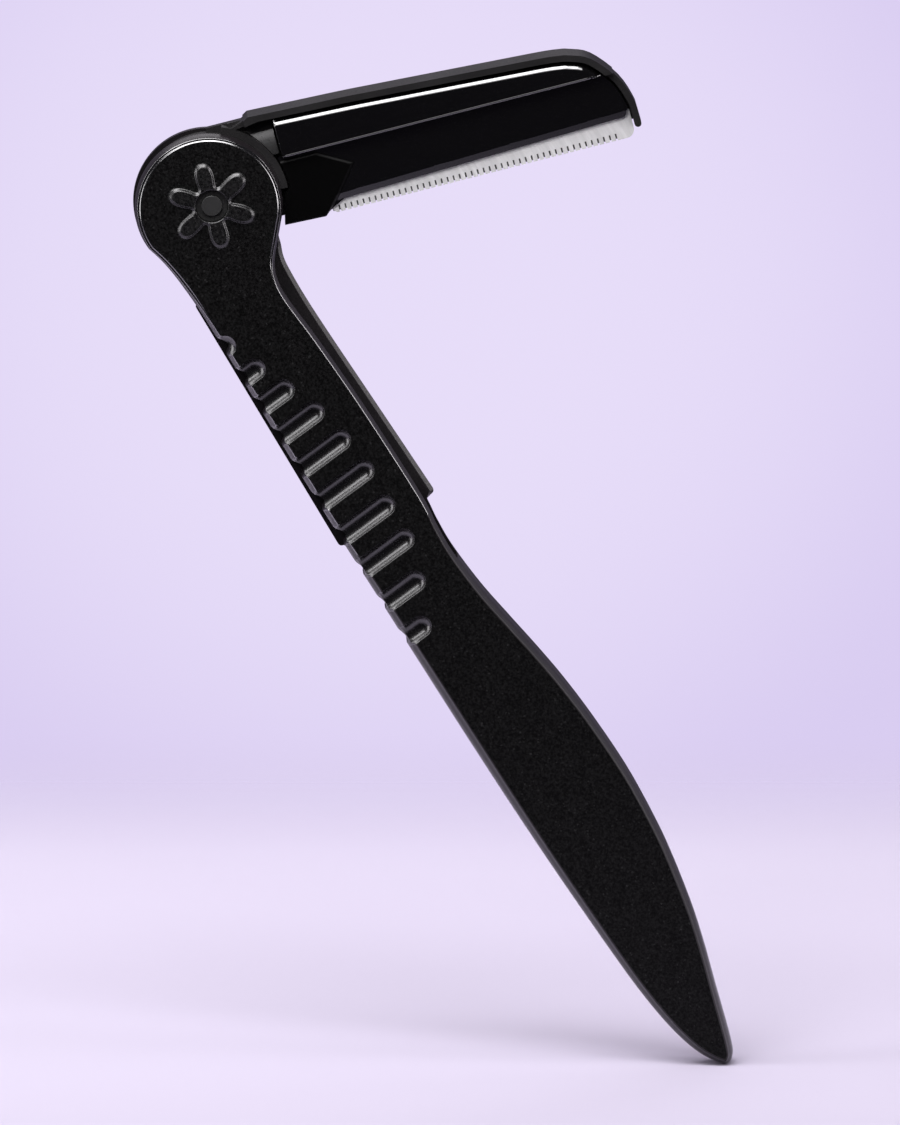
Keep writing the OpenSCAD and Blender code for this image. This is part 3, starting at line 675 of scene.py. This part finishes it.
# the rear shell's outline: the handle's, with the ledge above and the lip below up to the square end;
# its third column is the width of the ledge's bevel
def rearOutline():
    h, r = handle, rear
    end = r["endShare"] * h["reach"]
    c = r["corner"]
    lipY, lipX = -r["lipShare"] * h["bellyH"], r["lipFrom"] * h["reach"]
    ledge = np.vstack([np.array(r["ledgeNeck"]) * h["headR"],
                       np.array(r["ledge"]) * (h["reach"], h["bellyH"])])
    headStart = arcPoints(h["headX"], h["headY"], h["headR"], h["headFrom"], h["headFrom"], 1)[:1]
    curve = spline(np.vstack([headStart, ledge, ledge[-1:]]), shared["curveSteps"])
    xs = lowSide[:, 0]
    corner = end - c * (1 - np.sin(np.radians(np.linspace(0, 90, 9))))
    xs = np.unique(np.concatenate([xs[xs < end - c], corner]))
    off = np.clip(xs - end + c, 0, c)
    fall = c - np.sqrt(np.maximum(c * c - off * off, 0))
    lowY = np.where(xs < lipX, lowerEdgeAt(xs), lipY + fall)
    ledgeY = np.maximum(np.interp(xs, curve[:, 0], curve[:, 1]), upperEdgeAt(xs)) - fall
    upY = np.where(xs < ledge[0, 0], upperEdgeAt(xs), ledgeY)
    width = r["bevelW"] * smoothStep(ledge[0, 0], ledge[0, 0] + 2, xs)
    lowPast = lowSide[lowSide[:, 0] > end + 0.02, :2]
    upPast = upSide[upSide[:, 0] > end + 0.02, :2][::-1][1:]
    ring = np.vstack([np.column_stack([xs, lowY, 0 * xs]), np.column_stack([lowPast, 0 * lowPast[:, 0]]),
                      np.column_stack([upPast, 0 * upPast[:, 0]]),
                      np.column_stack([xs, upY, width])[::-1][:-1]])
    ring = evenly(ring, r["spacing"], closed=True)
    ring[:, :2] += shared["skin"] * inward(ring)
    return ring


def buildRearShell():
    h, r = handle, rear
    ring = rearOutline()
    n = inward(ring)
    rings = []
    # the back edge: a quarter of an oval
    for a in np.radians([0, 22, 45, 68, 90]):
        inset = r["backBevel"] / 2 * (1 - math.sin(a))
        level = np.full(len(ring), r["backBevel"] * (1 - math.cos(a)))
        rings.append(np.column_stack([ring[:, :2] + inset * n, level]))
    # the ledge's bevel: flat, with a row near each end to hold its shading
    for share in (0.0, 0.12, 0.88, 1.0):
        level = np.full(len(ring), h["rearT"] - r["bevelH"] * (1 - share))
        rings.append(np.column_stack([ring[:, :2] + (ring[:, 2] * share)[:, None] * n, level]))
    rings = [notched(q, range(grip["deepScallops"], len(grip["ends"]))) for q in rings]
    rings[-1][:, 2] -= r["faceGap"]
    low = [arcPoints(0, 0, q, 0, 360, 72)[:-1] for q in r["rivetRings"]]

    def backHeight(p):
        return np.where(np.hypot(p[:, 0], p[:, 1]) < r["rivetR"], r["rivetDepth"], 0.0)

    def paint(centres, kind):
        return np.where(kind == 2, 2, np.where(kind == 1, 1, 0))

    shell = ringSolid("rearShell", rings, [finish["ledge"], finish["wall"], finish["back"]],
                      lowInner=np.vstack(low), lowHeight=backHeight, paint=paint)
    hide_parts("rear_shell")
    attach(shell, "handle")
    print("rear shell", len(shell.data.polygons))
    return shell


frontShell = buildFrontShell()
rearShell = buildRearShell()

pivot = dict(pinBevel=0.1, collarBevel=0.05)
pin = easedCopy("pivot_pin", "pivotPin", finish["pin"], pivot["pinBevel"])
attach(pin, "handle")
collar = easedCopy("pin_collar", "pinCollar", finish["collar"], pivot["collarBevel"])
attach(collar, "handle")
for node in ("front_washer", "rear_washer"):
    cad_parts[node].data.materials.clear()
    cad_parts[node].data.materials.append(finish["washer"])
print("pivot made")


# Arm

arm = dict(length=50.032, spineH=8.8, rimW=0.75, rimBevel=0.16, coverGap=0.22, stepX=7.4, tipY=-3.4,
           spine=[(0.130, 1.003), (0.250, 0.975), (0.372, 0.946), (0.520, 0.896), (0.668, 0.845),
                  (0.750, 0.817), (0.816, 0.794), (0.852, 0.772), (0.880, 0.738), (0.926, 0.618),
                  (0.976, 0.265), (0.9985, -0.113)])

frameRim = easedCopy("arm_frame", "armFrame", finish["rim"], arm["rimBevel"])
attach(frameRim, "arm")


# the line a distance in from the spine, in the arm's own frame
def insideSpine(d):
    k = np.array(arm["spine"]) * (arm["length"], arm["spineH"])
    c = spline(np.vstack([k[0], k, [arm["length"], arm["tipY"]]]), shared["curveSteps"])
    c = c[c[:, 0] > arm["stepX"]]
    t = np.gradient(c, axis=0)
    t /= np.linalg.norm(t, axis=1, keepdims=True)
    return c + d * np.column_stack([t[:, 1], -t[:, 0]])


# turns a mesh made in the arm's own frame to its place at rest
def turnArm(piece):
    piece.data.transform(Matrix.Rotation(math.radians(shared["armTurn"]), 4, "Z"))


root = dict(shoulderR=9.0, leftX=5.1, rightX=8.95, lowY=3.65, highY=7.25, highZ=3.45, curve=0.095,
            floorZ=1.9)


# the light triangle between the hub and the cover, falling towards the spine by the square of the distance
def buildRoot():
    r = root
    high, low = (math.asin(r[key] / r["shoulderR"]) for key in ("highY", "lowY"))
    angles = np.linspace(high, low, 14)
    arc = r["shoulderR"] * np.column_stack([np.cos(angles), np.sin(angles)])
    right = [[r["rightX"], r["lowY"]], [r["rightX"], r["highY"]]]
    ring = evenly(np.vstack([arc, right]), 0.12, closed=True)

    def height(p):
        return r["highZ"] - r["curve"] * (p[:, 1] - r["lowY"]) ** 2

    xs, ys = np.meshgrid(np.arange(r["leftX"], r["rightX"], 0.15), np.arange(r["lowY"], r["highY"], 0.12))
    inner = keptInside(np.column_stack([xs.ravel(), ys.ravel()]), ring, 0.04)
    floor = np.full(len(ring), r["floorZ"])
    rings = [np.column_stack([ring, floor]), np.column_stack([ring, height(ring)])]
    piece = ringSolid("armRoot", rings, [finish["root"]], inner, height)
    turnArm(piece)
    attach(piece, "arm")


buildRoot()

cover = dict(
    x0=9.2, crease=3.15, floorZ=2.81, topZ=4.35, facetZ=3.6, lowZ=3.36, marginZ=3.02,
    chamferW=0.68, chamferSlope=0.8, chamferSoft=0.06, edgeR=0.12, endR=0.2, crown=0.015, crownY=6.5,
    creaseR=0.12, beadH=0.05, beadAt=0.2, beadW=0.07,
    bottom=((14.9, -3.498), (48.43, -2.4)), marginW=0.85, shoulderR=9.15, spacing=0.16,
    heel=[(8.35, -1.1), (7.5, -4.747), (12.4, -4.948), (12.9, -4.497)],
    heelTop=[(8.9, 2.45), (12.9, 2.45), (16.6, 0.35), (12.8, -4.5)], heelEdge=0.35, heelShare=0.8,
    heelDrop=0.09, heelFrom=-0.3, heelTo=0.1, heelPaint=-0.34,
    rowsX=(7.2, 49.4, 0.3), rowsY=(-4.7, 7.4, 0.3),
)


# the cover's outline and the line along its top
def coverOutline():
    c = cover
    top = insideSpine(arm["rimW"] + arm["coverGap"])
    top = top[(top[:, 0] > c["x0"]) & (top[:, 1] > c["bottom"][1][1] + 0.5)]
    shoulder = arcPoints(0, 0, c["shoulderR"], 20, -3, 12)
    start = [[c["x0"], top[0, 1]], [c["x0"], c["crease"] + 0.3]]
    ring = np.vstack([start, shoulder, c["heel"], c["bottom"], top[::-1]])
    ring = evenly(ring, c["spacing"], closed=True)
    return ring + shared["skin"] * inward(ring), top


# the heel's corners and the inward normals of its three sides
def heelSides():
    p = np.array(cover["heelTop"])
    side = np.diff(p, axis=0)
    n = np.column_stack([side[:, 1], -side[:, 0]])
    return p, n / np.linalg.norm(n, axis=1, keepdims=True)


# how far a point lies inside the heel: the least of its distances from the lines that bound it
def heelDepth(points):
    p, n = heelSides()
    return np.min([(points - p[i]) @ n[i] for i in range(3)], axis=0)


# the cover's height. Upper body: level, less a chamfer along the top with an eased corner, less small
# rounds and a slight fall towards the crease, plus a fine bead beside the crease, a bell curve. Lower
# facet: a slope, with a steeper margin along the bottom. The heel is level, with a rounded lower edge,
# and an eased step joins it to the facet
def coverHeight(top):
    c = cover
    (bx0, by0), (bx1, by1) = c["bottom"]

    def height(p):
        x, y = p[:, 0], p[:, 1]
        fromTop = distanceTo(p, top)
        upper = c["topZ"] - softPart(c["chamferSlope"] * (c["chamferW"] - fromTop), c["chamferSoft"])
        upper -= roundFall(fromTop, c["edgeR"]) + roundFall(y - c["crease"], c["creaseR"])
        upper -= roundFall(x - c["x0"], c["endR"]) + c["crown"] * np.maximum(c["crownY"] - y, 0)
        upper += c["beadH"] * np.exp(-((y - c["crease"] - c["beadAt"]) / c["beadW"]) ** 2)
        bottomY = by0 + (by1 - by0) * (x - bx0) / (bx1 - bx0)
        up = y - bottomY
        t = np.clip((up - c["marginW"]) / np.maximum(c["crease"] - bottomY - c["marginW"], 0.1), 0, 1)
        facet = c["lowZ"] + (c["facetZ"] - c["lowZ"]) * t
        slope = c["marginZ"] + (c["lowZ"] - c["marginZ"]) * np.clip(up / c["marginW"], 0, 1)
        lower = np.minimum(facet, slope) - roundFall(fromTop, c["endR"])
        inHeel = smoothStep(c["heelFrom"], c["heelTo"], heelDepth(p))
        heelBottom = distanceTo(p, np.array(c["heel"])[1:])
        heel = c["facetZ"] - c["heelDrop"] - c["heelShare"] * roundFall(heelBottom, c["heelEdge"])
        lower = lower * (1 - inHeel) + heel * inHeel
        raised = (y > c["crease"]) & (x > c["x0"] + 0.02)
        return np.where(raised, np.maximum(upper, c["floorZ"] + 0.1), lower)

    return height


# rows of points that follow the cover's creases, chamfer, margin and heel
def coverInner(ring):
    c = cover
    xs = np.arange(*c["rowsX"])
    (bx0, by0), (bx1, by1) = c["bottom"]
    rows = []
    beside = np.array([-0.3, -0.12, -0.05, 0.0, 0.004, 0.02, 0.05, 0.09, 0.13, 0.17, 0.2, 0.23, 0.27,
                       0.32, 0.4])
    for y in np.concatenate([c["crease"] + beside, np.arange(*c["rowsY"])]):
        rows.append(np.column_stack([xs, np.full(len(xs), y)]))
    for d in (0.0, 0.1, c["marginW"] - 0.08, c["marginW"], c["marginW"] + 0.08):
        rows.append(np.column_stack([xs, by0 + (by1 - by0) * (xs - bx0) / (bx1 - bx0) + d]))
    for d in (0.03, 0.07, 0.12, 0.2, 0.3, 0.4, 0.5, 0.56, 0.62, 0.68, 0.74, 0.8, 0.88, 1.0):
        line = insideSpine(arm["rimW"] + arm["coverGap"] + d)
        rows.append(evenly(line[line[:, 0] > c["x0"]], c["spacing"]))
    for x in c["x0"] + np.array([0.03, 0.08, 0.14, 0.2, 0.3]):
        ys = np.arange(c["crease"], 7.3, 0.2)
        rows.append(np.column_stack([np.full(len(ys), x), ys]))
    # lines at a distance inside the heel: each corner is where its two moved sides meet
    p, n = heelSides()
    for d in (-0.34, -0.28, -0.22, -0.16, -0.1, -0.04, 0.02, 0.08, 0.16):
        corners = [np.linalg.solve(n[i:i + 2], np.sum(n[i:i + 2] * p[i + 1], axis=1) + d) for i in (0, 1)]
        rows.append(evenly(np.vstack([p[0] + d * n[0], corners, p[3] + d * n[2]]), 0.14))
    for d in (0.1, 0.2, 0.3, 0.4):
        rows.append(evenly(np.array(c["heel"])[1:] + (0, d), 0.2))
    return keptInside(np.vstack(rows), ring, 0.035)


def buildCover():
    c = cover
    ring, top = coverOutline()
    height = coverHeight(top)
    rim = np.maximum(height(ring), c["floorZ"] + 0.05)
    rings = [np.column_stack([ring, np.full(len(ring), c["floorZ"])]), np.column_stack([ring, rim])]

    def paint(centres, kind):
        inHeel = heelDepth(centres[:, :2]) > c["heelPaint"]
        return np.where(inHeel & (centres[:, 1] < c["crease"] - 0.3), 1, 0)

    # paint reads the arm's own frame, so the turn comes last
    materials = [finish["cover"], finish["heel"]]
    piece = ringSolid("armCover", rings, materials, coverInner(ring), height, paint=paint)
    turnArm(piece)
    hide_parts("arm_cover")
    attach(piece, "arm")
    print("cover", len(piece.data.polygons))


buildCover()
bladeStrip = easedCopy("blade", "bladeStrip", finish["blade"], 0.0)
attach(bladeStrip, "arm")
guardFoil = easedCopy("skin_guard", "guardFoil", finish["guard"], 0.0)
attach(guardFoil, "arm")
print("arm made")


# Stage

# The picture's own axes in the row's frame: to its right, up it, and towards the camera
axisRight = np.array([0.5038, 0.8631, 0.0352])
axisRight /= np.linalg.norm(axisRight)
axisBack = np.cross(axisRight, [-0.8381, 0.4982, -0.2222])
axisBack /= np.linalg.norm(axisBack)
axisUp = np.cross(axisBack, axisRight)
look = dict(target=(50.83, 2.09, 2.05), distance=4500.0, tall=129.3, sensor=36.0, clip=(0.1, 20))


# a point in the row's frame, from its place in the picture's axes about the target
def inFrame(right, up, back):
    return np.array(look["target"]) + right * axisRight + up * axisUp + back * axisBack


camData = bpy.data.cameras.new("camera")
camera = bpy.data.objects.new("camera", camData)
bpy.context.scene.collection.objects.link(camera)
bpy.context.scene.camera = camera
camData.lens = look["sensor"] * look["distance"] / look["tall"]
camData.clip_start, camData.clip_end = look["clip"]
turnMatrix = Matrix(np.column_stack([axisRight, axisUp, axisBack]).tolist()).to_4x4()
camera.matrix_world = Matrix.Translation(Vector(inFrame(0, 0, look["distance"]) * mm)) @ turnMatrix

# each lamp: its place to the right, up and towards the camera, its size, power and colour
lamps = dict(
    topBox=((-150, 345, 215), (500, 200), 1.5, (1.0, 0.98, 1.0)),
    ridgeStrip=((-60, 330, 265), (460, 80), 0.9, (1.0, 0.99, 1.0)),
    grooveBox=((-215, 215, 400), (150, 150), 0.5, (1.0, 0.98, 1.0)),
    frontBox=((-30, 330, 420), (420, 300), 0.9, (1.0, 0.98, 1.0)),
    leftBox=((-420, 60, 130), (140, 420), 0.9, (1.0, 0.98, 1.0)),
    rightBox=((420, 90, 160), (140, 420), 1.15, (1.0, 0.96, 0.99)),
    backTop=((-60, 300, -170), (320, 160), 0.28, (1.0, 0.98, 1.0)),
    backRight=((310, 120, -170), (140, 300), 0.18, (1.0, 0.97, 1.0)),
)
for name, (place, size, power, colour) in lamps.items():
    data = bpy.data.lights.new(name, "AREA")
    data.shape = "RECTANGLE"
    data.size, data.size_y = size[0] * mm, size[1] * mm
    data.energy = power
    data.color = colour
    lamp = bpy.data.objects.new(name, data)
    bpy.context.scene.collection.objects.link(lamp)
    at = inFrame(*place) * mm
    # the lamp faces the target, with its first size square to the picture's up
    facing = Vector((at - inFrame(0, 0, 0) * mm).tolist()).normalized()
    across = (Vector(axisUp.tolist()).cross(facing)).normalized()
    upward = facing.cross(across)
    turned = Matrix((across, upward, facing)).transposed()
    lamp.matrix_world = Matrix.Translation(Vector(at.tolist())) @ turned.to_4x4()

backdrop = dict(centre=(0.80, 0.725, 0.945), edge=(0.695, 0.61, 0.88), behind=0.2, front=0.03,
                wide=78, high=72, shiftRight=0.1, shiftUp=-0.45, sideFrom=-0.1, sideTo=0.5)


# the world: a lilac backdrop with a soft round glow for the camera; other rays see its colours dimmed,
# the most on the camera's side
def buildWorld():
    world = bpy.data.worlds.new("studio")
    bpy.context.scene.world = world
    world.use_nodes = True
    tree = world.node_tree
    tree.nodes.clear()
    coord = tree.nodes.new("ShaderNodeTexCoord")

    # the square of the way along an axis, scaled and shifted
    def along(axis, scale, shift):
        dot = addDot(tree, coord.outputs["Generated"], axis)
        node = addNode(tree, "ShaderNodeMath", operation="MULTIPLY_ADD")
        node.inputs[1].default_value = scale
        node.inputs[2].default_value = shift
        tree.links.new(dot.outputs["Value"], node.inputs[0])
        squared = addNode(tree, "ShaderNodeMath", operation="POWER")
        squared.inputs[1].default_value = 2.0
        absolute = addNode(tree, "ShaderNodeMath", operation="ABSOLUTE")
        tree.links.new(node.outputs["Value"], absolute.inputs[0])
        tree.links.new(absolute.outputs["Value"], squared.inputs[0])
        return squared

    total = addNode(tree, "ShaderNodeMath", operation="ADD")
    across = along(axisRight, look["distance"] / backdrop["wide"], backdrop["shiftRight"])
    upward = along(axisUp, look["distance"] / backdrop["high"], backdrop["shiftUp"])
    tree.links.new(across.outputs["Value"], total.inputs[0])
    tree.links.new(upward.outputs["Value"], total.inputs[1])
    glow = addRamp(tree, total.outputs["Value"], [(0.0, backdrop["centre"]), (1.0, backdrop["edge"])])
    glow.color_ramp.interpolation = "EASE"
    backDot = addDot(tree, coord.outputs["Generated"], axisBack)
    side = addRange(tree, backDot.outputs["Value"], backdrop["sideFrom"], backdrop["sideTo"],
                    backdrop["behind"], backdrop["front"])
    seen = tree.nodes.new("ShaderNodeBackground")
    tree.links.new(glow.outputs["Color"], seen.inputs["Color"])
    given = tree.nodes.new("ShaderNodeBackground")
    tree.links.new(glow.outputs["Color"], given.inputs["Color"])
    tree.links.new(side.outputs["Result"], given.inputs["Strength"])
    path = tree.nodes.new("ShaderNodeLightPath")
    mix = tree.nodes.new("ShaderNodeMixShader")
    tree.links.new(path.outputs["Is Camera Ray"], mix.inputs["Fac"])
    tree.links.new(given.outputs["Background"], mix.inputs[1])
    tree.links.new(seen.outputs["Background"], mix.inputs[2])
    out = tree.nodes.new("ShaderNodeOutputWorld")
    tree.links.new(mix.outputs["Shader"], out.inputs["Surface"])


# the floor's colour is scaled between a near and a far share: painted light that is lighter towards the
# back
floorLook = dict(tilt=9.0, half=400.0, backFrom=130.0, backTo=240.0, frontFrom=48.0, frontTo=85.0,
                 tone=(0.572, 0.53, 0.645), nearPaintedLight=0.9, farPaintedLight=1.28, nearAt=48.0, farAt=150.0,
                 mottle=0.985, rough=0.6, shineLevel=0.1)


# the floor under the tip: a plane through the handle's lowest point, tilted back, that fades into the
# backdrop behind and in front; it is seen from above only, so that it hides nothing from below
def buildFloor(standing):
    f = floorLook
    tilt = math.radians(f["tilt"])
    up = axisUp * math.cos(tilt) + axisBack * math.sin(tilt)
    front = axisBack * math.cos(tilt) - axisUp * math.sin(tilt)
    points = np.vstack([np.array([v.co for v in piece.data.vertices]) for piece in standing]) * 1000
    lowest = points[np.argmin(points @ up)]
    half = f["half"]
    corners = [lowest + axisRight * r + front * b for r, b in
               ((-half, -half), (half, -half), (half, half), (-half, half))]
    faces = [(0, 1, 2, 3)]
    if np.cross(corners[1] - corners[0], corners[2] - corners[0]) @ up < 0:
        faces = [(3, 2, 1, 0)]
    mat, tree, shader = newMaterial("paleFloor", Roughness=f["rough"], Specular_IOR_Level=f["shineLevel"])
    coord = tree.nodes.new("ShaderNodeTexCoord")
    slow = addNoise(tree, coord, 60.0, 2.0)
    darker = [v * f["mottle"] for v in f["tone"]]
    tone = addRamp(tree, slow.outputs["Fac"], [(0.3, darker), (0.7, f["tone"])])
    clear = tree.nodes.new("ShaderNodeBsdfTransparent")
    geometry = tree.nodes.new("ShaderNodeNewGeometry")
    frontDot = addDot(tree, coord.outputs["Object"], front)
    at = float(front @ lowest)
    # painted light: the floor's colour grows lighter towards the back, standing in for light that the lamps
    # leave short there
    level = addRange(tree, frontDot.outputs["Value"], (at - f["farAt"]) * mm, (at + f["nearAt"]) * mm,
                     f["farPaintedLight"], f["nearPaintedLight"], "LINEAR")
    scaled = addNode(tree, "ShaderNodeVectorMath", operation="SCALE")
    tree.links.new(tone.outputs["Color"], scaled.inputs[0])
    tree.links.new(level.outputs["Result"], scaled.inputs["Scale"])
    tree.links.new(scaled.outputs["Vector"], shader.inputs["Base Color"])
    most = geometry.outputs["Backfacing"]
    for fadeFrom, fadeTo in ((at - f["backFrom"], at - f["backTo"]),
                             (at + f["frontFrom"], at + f["frontTo"])):
        fade = addRange(tree, frontDot.outputs["Value"], fadeFrom * mm, fadeTo * mm)
        larger = addNode(tree, "ShaderNodeMath", operation="MAXIMUM")
        tree.links.new(fade.outputs["Result"], larger.inputs[0])
        tree.links.new(most, larger.inputs[1])
        most = larger.outputs["Value"]
    mix = tree.nodes.new("ShaderNodeMixShader")
    tree.links.new(most, mix.inputs["Fac"])
    tree.links.new(shader.outputs["BSDF"], mix.inputs[1])
    tree.links.new(clear.outputs["BSDF"], mix.inputs[2])
    tree.links.new(mix.outputs["Shader"], tree.nodes["Material Output"].inputs["Surface"])
    toMesh("floor", corners, faces, [mat])


buildWorld()
buildFloor([frontShell, rearShell])
bpy.context.scene.view_settings.view_transform = "Standard"
print("stage made")
